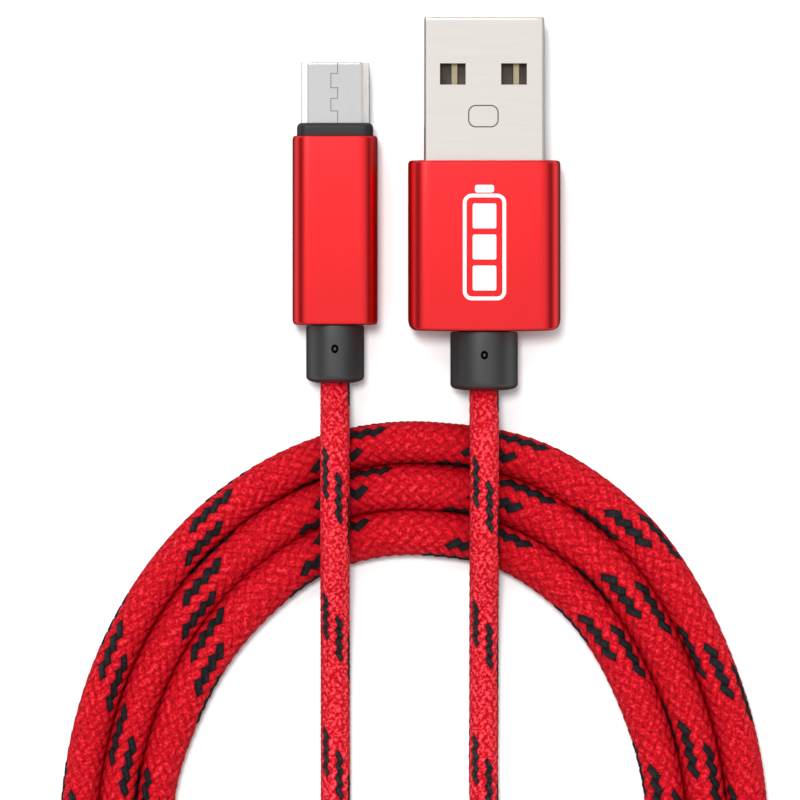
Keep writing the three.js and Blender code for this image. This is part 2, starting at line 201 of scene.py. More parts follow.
def carve(obj, cutters):
    """Cuts other solids out of an object and removes them. Each cut has its solid's material."""
    for cutter in cutters:
        modifier = obj.modifiers.new("cut", "BOOLEAN")
        modifier.operation = "DIFFERENCE"
        modifier.solver = "EXACT"
        modifier.material_mode = "TRANSFER"
        modifier.object = cutter
    bake_modifiers(obj)
    shade(obj.data)
    for cutter in cutters:
        bpy.data.objects.remove(cutter)
    return obj


# The CAD triangles are joined into faces first: points this close together (in metres) are one
# point, and triangles this near to flat (in radians) are one face.
SAME_PLACE = 1e-7
FLAT_ANGLE = 0.02


def softened_copy(name, cad_node, width):
    """A new piece in the shape of a CAD node, with its edges rounded off."""
    obj = new_object(name, bpy.data.objects[cad_node].data.copy())
    edit = bmesh.new()
    edit.from_mesh(obj.data)
    bmesh.ops.remove_doubles(edit, verts=edit.verts, dist=SAME_PLACE)
    bmesh.ops.dissolve_limit(edit, angle_limit=FLAT_ANGLE, verts=edit.verts, edges=edit.edges)
    edit.to_mesh(obj.data)
    edit.free()
    bevel = obj.modifiers.new("bevel", "BEVEL")
    bevel.width = width * MM
    bevel.segments = 2
    bevel.limit_method = "ANGLE"
    bake_modifiers(obj)
    shade(obj.data)
    return obj


def finish_piece(obj, finish, body="root", replaces=()):
    """Gives a piece its material and its body, and hides the CAD nodes that it stands for."""
    if finish not in list(obj.data.materials):
        obj.data.materials.clear()
        obj.data.materials.append(finish)
    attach(obj, body)
    if replaces:
        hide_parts(*replaces)
    return obj


# ---------------------------------------------------------------- materials


def material(name, colour, roughness, metallic=0.0, **inputs):
    """A principled material, with plain values on the shader's own sockets."""
    made = bpy.data.materials.new(name)
    made.use_nodes = True
    made.diffuse_color = (*colour, 1)
    shader = made.node_tree.nodes["Principled BSDF"]
    shader.inputs["Base Color"].default_value = (*colour, 1)
    shader.inputs["Roughness"].default_value = roughness
    shader.inputs["Metallic"].default_value = metallic
    for key, value in inputs.items():
        shader.inputs[key.replace("_", " ").title().replace("Ior", "IOR")].default_value = value
    return made


def node(made, kind, **values):
    """A shader node with its properties and its inputs' values set."""
    new = made.node_tree.nodes.new(kind)
    for key, value in values.items():
        if key in new.inputs:
            new.inputs[key].default_value = value
        else:
            setattr(new, key, value)
    return new


def link(made, output, target):
    made.node_tree.links.new(output, target)


def coordinates(made, scale, source="Object"):
    """Texture coordinates, stretched by a scale along each axis."""
    place = node(made, "ShaderNodeTexCoord")
    mapping = node(made, "ShaderNodeMapping", Scale=scale)
    link(made, place.outputs[source], mapping.inputs["Vector"])
    return mapping.outputs["Vector"]


def noise(made, scale, detail=3.0):
    texture = node(made, "ShaderNodeTexNoise", Scale=1.0, Detail=detail)
    link(made, coordinates(made, scale), texture.inputs["Vector"])
    return texture.outputs["Fac"]


def remapped(made, value, from_low, from_high, to_low=0.0, to_high=1.0):
    ends = {"From Min": from_low, "From Max": from_high, "To Min": to_low, "To Max": to_high}
    ramp = node(made, "ShaderNodeMapRange", **ends)
    link(made, value, ramp.inputs["Value"])
    return ramp.outputs["Result"]


def arithmetic(made, operation, *values):
    maths = node(made, "ShaderNodeMath", operation=operation)
    for value, socket in zip(values, maths.inputs):
        link(made, value, socket)
    return maths.outputs["Value"]


def vary_colour(made, factor, *colours):
    """Drives the base colour from a factor, through evenly spaced colours."""
    ramp = node(made, "ShaderNodeValToRGB")
    stops = ramp.color_ramp.elements
    while len(stops) < len(colours):
        stops.new(0.5)
    for k, colour in enumerate(colours):
        stops[k].position = k / (len(colours) - 1)
        stops[k].color = (*colour, 1)
    link(made, factor, ramp.inputs["Fac"])
    link(made, ramp.outputs["Color"], made.node_tree.nodes["Principled BSDF"].inputs["Base Color"])


def vary_roughness(made, factor, low, high):
    roughness = remapped(made, factor, 0.0, 1.0, low, high)
    link(made, roughness, made.node_tree.nodes["Principled BSDF"].inputs["Roughness"])


def add_bump(made, height, strength, distance):
    bump = node(made, "ShaderNodeBump", Strength=strength, Distance=distance)
    link(made, height, bump.inputs["Height"])
    link(made, bump.outputs["Normal"], made.node_tree.nodes["Principled BSDF"].inputs["Normal"])


# Painted light: the braid is painted lighter on the narrow leads than where the cord is at its full
# width, as if the leads were lit more brightly.
LEAD_PAINTED_LIGHT = 1.20
FULL_CORD_PAINTED_LIGHT = 0.75
# How far off other surfaces still cast painted shade on the yarn, in metres.
PAINTED_SHADE_REACH = 0.006


def yarn_material(name, colours, roughness, level):
    """Nylon yarn: fine filaments, painted highlights on the crowns and in random specks, painted
    shade in hollows, and painted light that is lighter on the leads.
    """
    made = material(name, colours[-1], roughness, Specular_Ior_Level=level)
    filaments = node(
        made, "ShaderNodeTexWave", wave_type="BANDS", bands_direction="X",
        Scale=1.4, Distortion=2.5, Detail=2.0,
    )
    link(made, coordinates(made, (1, 0.4, 1), "UV"), filaments.inputs["Vector"])
    add_bump(made, filaments.outputs["Fac"], 0.6, 0.00008)
    crown = node(made, "ShaderNodeAttribute", attribute_name="crown").outputs["Fac"]
    # Painted highlight: each stitch is painted lighter at its crown, and painted shade darkens its
    # edges.
    painted_light = remapped(made, crown, 0.1, 0.8, 0.55, 1.0)
    # Painted highlight: random specks of lighter, pinker colour.
    highlight_specks = remapped(made, noise(made, (3400, 3400, 3400), 2.0), 0.38, 0.62, 0.28, 1.0)
    # Painted shade: the yarn is painted darker where other surfaces are near, in hollows and between
    # the turns.
    painted_hollow_shade = node(made, "ShaderNodeAmbientOcclusion", samples=6, Distance=PAINTED_SHADE_REACH)
    open_to_air = remapped(made, painted_hollow_shade.outputs["AO"], 0.15, 0.95)
    # Painted light: lighter on the leads, darker where the cord is full.
    fullness = node(made, "ShaderNodeAttribute", attribute_name="fullness").outputs["Fac"]
    painted_light_by_fullness = remapped(made, fullness, 0.0, 1.0, LEAD_PAINTED_LIGHT, FULL_CORD_PAINTED_LIGHT)
    for factor in (highlight_specks, open_to_air, painted_light_by_fullness):
        painted_light = arithmetic(made, "MULTIPLY", painted_light, factor)
    vary_colour(made, painted_light, *colours)
    return made


def metal_grain(made, scale, strength, depth, low, high):
    """A grain in the surface's height and in its roughness."""
    grain = noise(made, scale, 4.0)
    add_bump(made, grain, strength, depth)
    vary_roughness(made, grain, low, high)


def anodised():
    """Red anodised aluminium: the fine even grain of a blasted surface under a clear layer."""
    made = material(
        "red_anodised", (0.85, 0.012, 0.017), 0.34, 0.95, Coat_Weight=0.5, Coat_Roughness=0.28
    )
    metal_grain(made, (9000, 9000, 9000), 0.25, 0.000012, 0.28, 0.40)
    vary_colour(made, noise(made, (260, 90, 260), 2.0), (0.81, 0.010, 0.015), (0.89, 0.014, 0.019))
    return made


def brushed(name, low, high, along, metallic=1.0, roughness=(0.18, 0.30)):
    """Plated steel with fine brush lines that run along one axis."""
    made = material(name, high, 0.25, metallic)
    metal_grain(made, along, 0.10, 0.000005, *roughness)
    vary_colour(made, noise(made, tuple(v * 0.2 for v in along), 3.0), low, high)
    return made


def moulded(name, low, high, roughness, grain=5000, level=0.5):
    """Moulded plastic: a fine spark-eroded grain and a slightly uneven shade."""
    made = material(name, high, roughness, Specular_Ior_Level=level)
    metal_grain(made, (grain, grain, grain), 0.2, 0.00001, roughness - 0.05, roughness + 0.07)
    vary_colour(made, noise(made, (400, 400, 400), 3.0), low, high)
    return made


# The lightest of each yarn's colours is its painted highlight: pinkish on the red yarn, grey on the
# black.
RED_YARN = yarn_material(
    "red_yarn", [(0.26, 0.0, 0.003), (0.66, 0.007, 0.018), (1.0, 0.078, 0.105)], 0.45, 0.10
)
BLACK_YARN = yarn_material(
    "black_yarn", [(0.002, 0.002, 0.003), (0.010, 0.010, 0.013), (0.030, 0.031, 0.034)], 0.42, 0.25
)
CORE = moulded("cord_core", (0.014, 0.002, 0.003), (0.022, 0.003, 0.004), 0.85)
ANODISED = anodised()
SHELL_A = brushed("type_a_steel", (0.76, 0.72, 0.68), (0.82, 0.78, 0.735), (500, 9000, 9000))
SHELL_B = brushed("micro_b_steel", (0.61, 0.61, 0.61), (0.66, 0.66, 0.66), (7000, 600, 7000))
# Painted highlight: a brighter, glossier copy of the Micro-B steel, for the shell's upper bevels.
BEVEL_PAINTED_HIGHLIGHT = brushed(
    "micro_b_painted_highlight_edge", (0.95, 0.95, 0.95), (0.99, 0.99, 0.99), (7000, 600, 7000),
    metallic=0.7, roughness=(0.08, 0.14),
)
SPRING = brushed("spring_steel", (0.46, 0.46, 0.45), (0.56, 0.56, 0.55), (7000, 700, 7000))
# Painted shade: a dark copy of the steel for the cut faces of the Type-A shell's pressed line and
# seam.
GROOVE_SHADE = brushed("pressed_line_painted_shade", (0.14, 0.13, 0.12), (0.20, 0.19, 0.18), (5000, 5000, 5000))
# Painted shade: a darker copy of the steel for the cut faces of the Micro-B shell's seam grooves.
SEAM_SHADE = brushed("seam_painted_shade", (0.30, 0.30, 0.30), (0.36, 0.36, 0.36), (5000, 5000, 5000))
GOLD = brushed("gold_plating", (0.42, 0.36, 0.24), (0.52, 0.44, 0.30), (8000, 900, 8000))
COLLAR = moulded("collar_black", (0.008, 0.008, 0.0085), (0.013, 0.013, 0.0135), 0.46, 6000, 1.0)
# Painted shade: a pitch-black, unreflecting material for the pin mark's recess.
PIT_SHADE = moulded("pin_mark_painted_shade", (0.001, 0.001, 0.001), (0.002, 0.002, 0.002), 0.9, 6000, 0.0)
BLACK_PART = moulded("front_black", (0.008, 0.008, 0.009), (0.014, 0.014, 0.015), 0.45)
INSULATOR = moulded("insulator", (0.055, 0.040, 0.032), (0.085, 0.064, 0.052), 0.5)
INNER_MOULD = moulded("inner_mould", (0.60, 0.57, 0.50), (0.68, 0.65, 0.58), 0.5)
JACKET = moulded("cord_jacket", (0.014, 0.014, 0.015), (0.022, 0.022, 0.024), 0.55)
PRINT = moulded("white_print", (0.82, 0.79, 0.78), (0.93, 0.91, 0.90), 0.5, 9000)
WIRE_FINISHES = [
    moulded("wire_red", (0.50, 0.02, 0.02), (0.60, 0.03, 0.03), 0.4),
    moulded("wire_white", (0.78, 0.78, 0.75), (0.86, 0.86, 0.84), 0.4),
    moulded("wire_green", (0.02, 0.24, 0.05), (0.03, 0.30, 0.07), 0.4),
    moulded("wire_black", (0.012, 0.012, 0.012), (0.020, 0.020, 0.020), 0.4),
]

# ---------------------------------------------------------------- the cord's route, mm

# The coil's three turns, as centrelines of an oval that is longer towards -Y. The pitches are the
# steps from turn to turn. The outer turn is centred on COIL_X and each inner one lies to its left.
COIL_X = -1.3
COIL_Y = -64
INNER_TURN_HALF_WIDTH = 25.8
INNER_TURN_UPPER = 31.2
OUTER_TURN_LOWER = 64
SIDE_PITCH = 3.9
TURN_SHIFT = 0.15
UPPER_PITCH = 4.5
LOWER_PITCH = 4.6
COIL_Z = 2.0

# The route behind each plug, the same as in the CAD model: lead B from the Micro-B collar to the
# innermost turn, and lead A from the Type-A collar to the outermost turn.
LEAD_B_ROUTE = [
    (-9.125, -17.05, 3.2), (-9.125, -18.15, 3.25), (-9.125, -20.2, 3.65), (-9.125, -22.6, 4.95),
    (-9.125, -25.2, 5.75), (-9.125, -28.5, 5.9), (-9.125, -32.5, 5.85), (-9.125, -36.5, 5.1),
    (-9.125, -41, 3.5), (-9.125, -46, 2.1), (-9.125, -52, 1.65), (-9.125, -60, 1.6),
    (-9.4, -70, 1.7), (-10.2, -80, 1.85), (-11.2, -90, 1.95), (-11.5, -98, 2),
    (-10.3, -105, 2), (-6.6, -111.2, 2), (-0.6, -114.6, 2), (5.8, -113.8, 2),
]
LEAD_A_ROUTE = [
    (5.775, -17.8, 3.8), (5.775, -18.9, 3.95), (5.775, -21.6, 4.75), (5.775, -24.4, 5.65),
    (5.775, -27.5, 5.9), (5.775, -32, 5.85), (5.775, -36, 5.2), (5.775, -40, 3.7),
    (5.775, -45, 2.2), (5.775, -51, 1.65), (5.775, -59, 1.6), (6.2, -67, 1.7),
    (6.9, -76, 1.85), (7.3, -85, 2.05), (7.4, -93, 2.8), (7.2, -101, 4.5),
    (6.4, -108.5, 5.9), (4.2, -115.2, 6.2), (-0.6, -120.6, 6.2), (-7.6, -122.6, 6.2),
    (-14.5, -120.9, 6.2), (-20.6, -115.9, 6.1),
]
# How far round the oval the turns begin and end, from +X and counterclockwise. LIFT_OFF is how far
# round and how high the cord is where it leaves them, and each turn moves out over the shift.
COIL_START_DEG = 300
COIL_END_DEG = 1285
COIL_STEP_DEG = 6
LIFT_OFF = [(1290, 2.5), (1298, 3.6), (1306, 4.9)]
SHIFT_FROM_DEG = 230
SHIFT_OVER_DEG = 120

# The turns, from the inside, bulge a little at their upper right and are squashed wider at the top
# of the oval. The innermost turn sags inward and widens at its upper left.
BULGE = (0.52, 0.6, 0.65)
BULGE_WIDENING = (-0.07, 0.15, 0.15)
SAG = (-0.22, 0, 0)
SAG_WIDENING = (0.22, 0, 0)
LEFT_HALF_WIDTH = 1.95
RIGHT_HALF_WIDTH = 2.10
TOP_HALF_WIDTH = (2.38, 2.38, 2.17)


def smooth_step(value):
    value = np.clip(value, 0, 1)
    return value * value * (3 - 2 * value)


def turn_at(degrees):
    """Which turn a place is on: 0, 1 and 2 from the inside, with a smooth step between them."""
    turn = degrees // 360 - 1
    within = degrees % 360
    return turn + smooth_step((within - SHIFT_FROM_DEG) / SHIFT_OVER_DEG) * (within > 180)


def in_bulge(within):
    """How far a place round the oval is inside the stretch where the turns bulge, from 0 to 1."""
    return smooth_step((86 - within) / 20) * smooth_step((within - 24) / 28)


def in_sag(within):
    """How far a place is inside the stretch at the upper left where the innermost turn sags."""
    return smooth_step((172 - within) / 20) * smooth_step((within - 110) / 20)


def beside(turn, within, at_bulge, at_sag):
    """A change for one of the turns, counted from the inside, at a place round the oval."""
    turns = (0, 1, 2)
    bulging = np.interp(turn, turns, at_bulge) * in_bulge(within)
    return bulging + np.interp(turn, turns, at_sag) * in_sag(within)


def coil_point(degrees, z=COIL_Z):
    """The turns' centreline. Each turn moves out by one pitch in the lower part of the oval."""
    turn = turn_at(degrees)
    within = degrees % 360
    if within > 180:
        reach = OUTER_TURN_LOWER - (2 - turn) * LOWER_PITCH
    else:
        reach = INNER_TURN_UPPER + turn * UPPER_PITCH
    half_width = INNER_TURN_HALF_WIDTH + turn * SIDE_PITCH
    bulge = beside(turn, within, BULGE, SAG)
    angle = math.radians(degrees)
    x = COIL_X + (turn - 2) * TURN_SHIFT + (half_width + bulge) * math.cos(angle)
    return (x, COIL_Y + (reach + bulge) * math.sin(angle), z)


def cord_route():
    """The route from the Micro-B collar to the Type-A collar, and how far round each point is."""
    round_deg = list(range(COIL_START_DEG, COIL_END_DEG + 1, COIL_STEP_DEG))
    turns = [coil_point(degrees) for degrees in round_deg]
    lift = [coil_point(degrees, z) for degrees, z in LIFT_OFF]
    points = [*LEAD_B_ROUTE, *turns, *lift, *reversed(LEAD_A_ROUTE)]
    degrees = [round_deg[0]] * len(LEAD_B_ROUTE) + round_deg
    degrees += [round_deg[-1]] * (len(points) - len(degrees))
    return np.array(points, float), np.array(degrees, float)


STEPS_PER_SPAN = 12


def smooth_curve(points):
    """A centripetal Catmull-Rom curve through the points."""
    ends = [2 * points[0] - points[1], *points, 2 * points[-1] - points[-2]]
    line = []
    for p0, p1, p2, p3 in zip(ends, ends[1:], ends[2:], ends[3:]):
        d0, d1, d2 = (np.linalg.norm(b - a) ** 0.5 for a, b in ((p0, p1), (p1, p2), (p2, p3)))
        m1 = ((p1 - p0) / d0 - (p2 - p0) / (d0 + d1) + (p2 - p1) / d1) * d1
        m2 = ((p2 - p1) / d1 - (p3 - p1) / (d1 + d2) + (p3 - p2) / d2) * d1
        for step in range(STEPS_PER_SPAN):
            t = step / STEPS_PER_SPAN
            line.append(
                p1 + m1 * t
                + (3 * (p2 - p1) - 2 * m1 - m2) * t**2
                + (2 * (p1 - p2) + m1 + m2) * t**3
            )
    line.append(points[-1])
    return np.array(line)


def evenly(line, degrees, step):
    """The line again, with points one step apart, and how far round the coil each one is."""
    along = np.concatenate([[0], np.cumsum(np.linalg.norm(np.diff(line, axis=0), axis=1))])
    at = np.linspace(0, along[-1], round(along[-1] / step) + 1)
    places = np.stack([np.interp(at, along, line[:, k]) for k in range(3)], axis=1)
    return at, places, np.interp(at, along[::STEPS_PER_SPAN], degrees)


# ---------------------------------------------------------------- the braid

# One lay is the length in which a yarn goes once round the cord. The cord starts to widen at
# SWELL_FROM from its ends.
YARNS = 12
LEAD_RADIUS = 1.5
COIL_RADIUS = 1.96
LEAD_LAY = 14.2
COIL_LAY_ACROSS = 15.7
COIL_LAY_LENGTHWISE = 17.6
SWELL_FROM = 62
SWELL_OVER = 30
BLACK_YARNS = (0, 1, 2, 3)
CELL = 2 * YARNS

# How far the braid is rolled about the cord, at places round the coil: its start, the right, the
# top and the left of each turn, and its end. The two leads are rolled as the coil's two ends are.
ROLL_PLACES = (300, 375, 455, 525, 735, 815, 885, 1095, 1175, 1245, 1285)
ROLL_DEG = (35, 30, 30, 30, 25, 50, 95, 125, 95, 75, 75)
# One group of black dashes on each turn, from the inside: how far round the oval its middle is, and
# how far it is round the cord from the top, in degrees.
TURN_DASHES = ((76, -22), (104, 0), (105, -33))
# How many lays the black dashes are moved along the leads. The last turn's fades into lead A's.
LEAD_B_PHASE = 0.37
LEAD_A_PHASE = 0.77
PHASE_FADE = 40
LINE_STEP = 0.5

ROUTE, ROUTE_DEG = cord_route()
AT, LINE, ROUND_DEG = evenly(smooth_curve(ROUTE), ROUTE_DEG, LINE_STEP)
CORD_LENGTH = AT[-1]
FULLNESS = smooth_step((np.minimum(AT, CORD_LENGTH - AT) - SWELL_FROM) / SWELL_OVER)
RADIUS = LEAD_RADIUS + (COIL_RADIUS - LEAD_RADIUS) * FULLNESS
AT_TOP = np.where(ROUND_DEG % 360 < 180, np.sin(np.radians(ROUND_DEG)) ** 2, 0.0)
TURN = ROUND_DEG // 360 - 1
TOP_HALF = np.interp(TURN, (0, 1, 2), TOP_HALF_WIDTH)
SIDE_HALF = np.interp(np.cos(np.radians(ROUND_DEG)), (-1, 1), (LEFT_HALF_WIDTH, RIGHT_HALF_WIDTH))
COIL_HALF = SIDE_HALF + (TOP_HALF - SIDE_HALF) * AT_TOP
COIL_HALF += beside(TURN, ROUND_DEG % 360, BULGE_WIDENING, SAG_WIDENING)
HALF_WIDTH = LEAD_RADIUS + (COIL_HALF - LEAD_RADIUS) * FULLNESS


def frames(line):
    """Along the line: its direction, its side that faces up, and the side square to both."""
    along = np.gradient(line, axis=0)
    along /= np.linalg.norm(along, axis=1, keepdims=True)
    up = np.array([0, 0, 1.0]) - along * along[:, 2:3]
    up /= np.linalg.norm(up, axis=1, keepdims=True)
    return along, up, np.cross(along, up)


ALONG, FACE_UP, SIDEWAYS = frames(LINE)
ROLL_ALONG = np.interp(ROUND_DEG, ROLL_PLACES, ROLL_DEG)
ROLL = np.radians(ROLL_ALONG)


def turn_phases(unmoved):
    """How many lays each turn's braid is moved, to bring its dashes where TURN_DASHES says."""
    black_middle = np.mean(BLACK_YARNS) / YARNS
    phases = []
    for turn, (within, from_top) in enumerate(TURN_DASHES, 1):
        here = np.argmin(abs(ROUND_DEG - (360 * turn + within)))
        wanted = black_middle + (ROLL_ALONG[here] - from_top) / 360
        phases.append((wanted - unmoved[here]) % 1)
    return phases


def phase(unmoved):
    """How many lays the braid is moved along the cord. It changes where the turns shift."""
    turn = np.array([turn_at(degrees) for degrees in ROUND_DEG])
    before = turn_at(COIL_START_DEG)
    phases = turn_phases(unmoved)
    moved = np.interp(turn, (before, 0, 1, 2), (LEAD_B_PHASE, *phases))
    coil_end = AT[np.argmax(ROUND_DEG)]
    return moved + (LEAD_A_PHASE - phases[-1]) * smooth_step((AT - coil_end) / PHASE_FADE)


def braid_turns():
    """How many times the yarns have gone round the cord at each point of the line."""
    coil_lay = COIL_LAY_ACROSS + (COIL_LAY_LENGTHWISE - COIL_LAY_ACROSS) * ALONG[:, 1] ** 2
    rate = 1 / (LEAD_LAY + (coil_lay - LEAD_LAY) * FULLNESS)
    unmoved = np.concatenate([[0], np.cumsum((rate[1:] + rate[:-1]) / 2 * np.diff(AT))])
    return unmoved + phase(unmoved)


TURNS = braid_turns()


def on_cord(u, v, drop):
    """Points of the braid: u and v count the yarns each way, and drop is below the crowns."""
    at = np.interp((u - v) / CELL, TURNS, AT)
    angle = 2 * np.pi * (u + v) / CELL + np.interp(at, AT, ROLL)
    drop = drop * (np.interp(at, AT, RADIUS) / COIL_RADIUS) ** 3
    height = (np.interp(at, AT, RADIUS) - drop) * np.cos(angle)
    width = (np.interp(at, AT, HALF_WIDTH) - drop) * np.sin(angle)

    def along(values):
        return np.stack([np.interp(at, AT, values[:, k]) for k in range(3)], axis=-1)

    points = along(LINE) + along(FACE_UP) * height[..., None] + along(SIDEWAYS) * width[..., None]
    return points * MM


# One stitch: how deep it lies across and along itself, from its crown.
ACROSS = np.array([-1.0, -0.6, 0.0, 0.6, 1.0])
ACROSS_DROP = np.array([0.12, 0.035, 0.0, 0.035, 0.12])
LENGTHWISE = np.array([-1.0, -0.5, 0.5, 1.0])
LENGTHWISE_DROP = np.array([0.16, 0.015, 0.015, 0.16])
STITCH_HALF_LENGTH = 1.18
STITCH_HALF_WIDTH = 0.54
END_NARROWING = 0.10
CORE_DEPTH = 0.20
BLACK_STITCH_SHARE = 0.90
# How far the yarn's texture is moved from each stitch to the next, so that no two look the same.
TEXTURE_SHIFT = 2.618


def stitches(left_handed):
    """The middle of every visible stitch of one set of yarns, and the number of its yarn."""
    shown = []
    first_turn, last_turn = TURNS[0] + 0.01, TURNS[-1] - 0.01
    for column in range(0, CELL, 4):
        first = column if left_handed else column + 2
        for yarn in range(-CELL, int(YARNS * last_turn) + CELL + YARNS):
            if left_handed:
                u, v = yarn, first - yarn + 0.5
            else:
                u, v = yarn + 0.5, first - yarn
            if first_turn < (u - v) / CELL < last_turn:
                shown.append((u, v, yarn))
    return np.array(shown)


def stitch_mesh(name, left_handed_stitches, right_handed_stitches, share=1.0):
    """One puffed patch for each stitch, with its ends tucked under its neighbours."""
    p, q = np.meshgrid(LENGTHWISE, ACROSS, indexing="ij")
    drop = LENGTHWISE_DROP[:, None] + ACROSS_DROP[None, :]
    forward = STITCH_HALF_LENGTH * share * p
    aside = STITCH_HALF_WIDTH * share * q * (1 - END_NARROWING * p**2)
    # 1 at the stitch's middle and 0 at its edges: it sets the yarn's painted highlight.
    crown = (1 - p**2) * (1 - q**2)
    parts, fullness = [], []
    for middles, left_handed in ((left_handed_stitches, True), (right_handed_stitches, False)):
        if not len(middles):
            continue
        u = middles[:, 0, None, None] + (aside if left_handed else forward)
        v = middles[:, 1, None, None] + (forward if left_handed else aside)
        parts.append((on_cord(u, v, drop + 0 * u), left_handed))
        # How full the cord is at each point, which sets the yarn's painted light.
        fullness.append(np.interp((u - v) / CELL, TURNS, FULLNESS).ravel())
    rows, columns = p.shape
    corner = (np.arange(rows - 1)[:, None] * columns + np.arange(columns - 1)).ravel()
    patch = np.stack([corner, corner + 1, corner + columns + 1, corner + columns], axis=1)
    vertices, quads, uvs, count = [], [], [], 0
    for points, left_handed in parts:
        number = len(points)
        vertices.append(points.reshape(-1, 3))
        order = patch if left_handed else patch[:, ::-1]
        start = count + np.arange(number)[:, None, None] * p.size
        quads.append((start + order).reshape(-1, 4))
        shift = np.arange(number)[:, None, None] * TEXTURE_SHIFT
        uvs.append(np.stack([q + 0 * shift, p + shift], axis=-1).reshape(-1, 2))
        count += number * p.size
    return mesh_of(
        name, np.concatenate(vertices), np.concatenate(quads), np.concatenate(uvs),
        fullness=np.concatenate(fullness), crown=np.tile(crown.ravel(), count // p.size),
    )


def tube_mesh(name, depth):
    """A plain tube inside the braid. Its ends are open, inside the collars."""
    sides = 14
    rows = np.arange(0, len(AT), 4)
    angle = np.linspace(0, 2 * np.pi, sides, endpoint=False)
    height = np.outer(RADIUS[rows] - depth, np.cos(angle))
    width = np.outer(HALF_WIDTH[rows] - depth, np.sin(angle))
    points = LINE[rows, None] + FACE_UP[rows, None] * height[..., None]
    points = (points + SIDEWAYS[rows, None] * width[..., None]) * MM
    corner = np.arange(len(rows) - 1)[:, None] * sides
    here = np.arange(sides)
    after = (here + 1) % sides
    quads = np.stack(
        [corner + here, corner + after, corner + sides + after, corner + sides + here], axis=-1
    )
    return mesh_of(name, points.reshape(-1, 3), quads.reshape(-1, 4))


def make_cord():
    left = stitches(True)
    right = stitches(False)
    is_black = np.isin(left[:, 2] % YARNS, BLACK_YARNS)
    red = new_object("cord_red_yarn", stitch_mesh("cord_red_yarn", left[~is_black], right))
    black_mesh = stitch_mesh("cord_black_yarn", left[is_black], right[:0], BLACK_STITCH_SHARE)
    black = new_object("cord_black_yarn", black_mesh)
    core = new_object("cord_core", tube_mesh("cord_core", CORE_DEPTH))
    finish_piece(red, RED_YARN, replaces=("cord_lead_a", "cord_lead_b", "cord_coil"))
    finish_piece(black, BLACK_YARN)
    finish_piece(core, CORE)


make_cord()

# ---------------------------------------------------------------- pieces that both plugs have


def limits(cad_node):
    """A CAD node's lowest and highest corners in millimetres."""
    low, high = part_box(cad_node)
    return low / MM, high / MM


def axis_of(cad_node):
    """The X and Z of a plug's axis, from a node that is symmetrical about it."""
    low, high = limits(cad_node)
    return (low.x + high.x) / 2, (low.z + high.z) / 2


def framed(outline, inner, low, high):
    """A frame lying flat: between two outlines in X and Y, from one height to another."""
    return skin(
        [
            [(x, y, low) for x, y in outline], [(x, y, high) for x, y in outline],
            [(x, y, high) for x, y in inner], [(x, y, low) for x, y in inner],
        ],
        cyclic=True,
    )


def make_housing(prefix, corner, wall, neck_diameter, bow, plan_corner, edge):
    """An open cup of anodised metal. Its front edge is chamfered, and its rear bows outward."""
    rear_wall = 1.2
    node_name = f"{prefix}_housing"
    low, high = limits(node_name)
    width, height = high.x - low.x, high.z - low.z
    front, rear = high.y, low.y

    def rear_curve(x):
        """How far the rear edge lies in front of its middle, seen from above."""
        past = max(abs(x) - (width / 2 - plan_corner), 0)
        rounded = plan_corner - math.sqrt(max(plan_corner**2 - past**2, 0))
        return bow * (2 * x / width) ** 2 + rounded

    def section(inset, y, curved=False):
        radius = max(corner - inset, 0.35)
        outline = rounded_rectangle(width - 2 * inset, height - 2 * inset, radius, 12)
        return [(x, y + (rear_curve(x) if curved else 0), z) for x, z in outline]

    rings = [
        section(wall, front - 0.05),
        section(edge + 0.05, front),
        section(edge * 0.5, front - edge * 0.25),
        section(0.03, front - edge),
        section(0, front - edge - 0.1),
        section(0, rear + edge + 0.1, True),
    ]
    steps = 5
    for k in range(steps + 1):
        turn = math.pi / 2 * k / steps
        inset = edge * (1 - math.cos(turn))
        rings.append(section(inset, rear + edge * (1 - math.sin(turn)), True))
    rim = section(edge + 0.15, rear, True)
    neck = neck_diameter / 2 + 0.12
    hole = [(neck * x / math.hypot(x, z), rear, neck * z / math.hypot(x, z)) for x, _, z in rim]
    rings.append(rim)
    rings += [
        [tuple(a + (b - a) * share for a, b in zip(p, q)) for p, q in zip(rim, hole)]
        for share in (0.33, 0.66)
    ]
    inner_floor = rear + rear_wall + bow
    rings += [
        hole,
        [(x, inner_floor, z) for x, _, z in hole],
        section(wall + 0.1, inner_floor),
        section(wall, inner_floor + 0.1),
        section(wall, front - 0.3),
    ]
    obj = solid(node_name + "_metal", [skin(rings, cyclic=True)], axis_of(node_name))
    return finish_piece(obj, ANODISED, replaces=(node_name,))


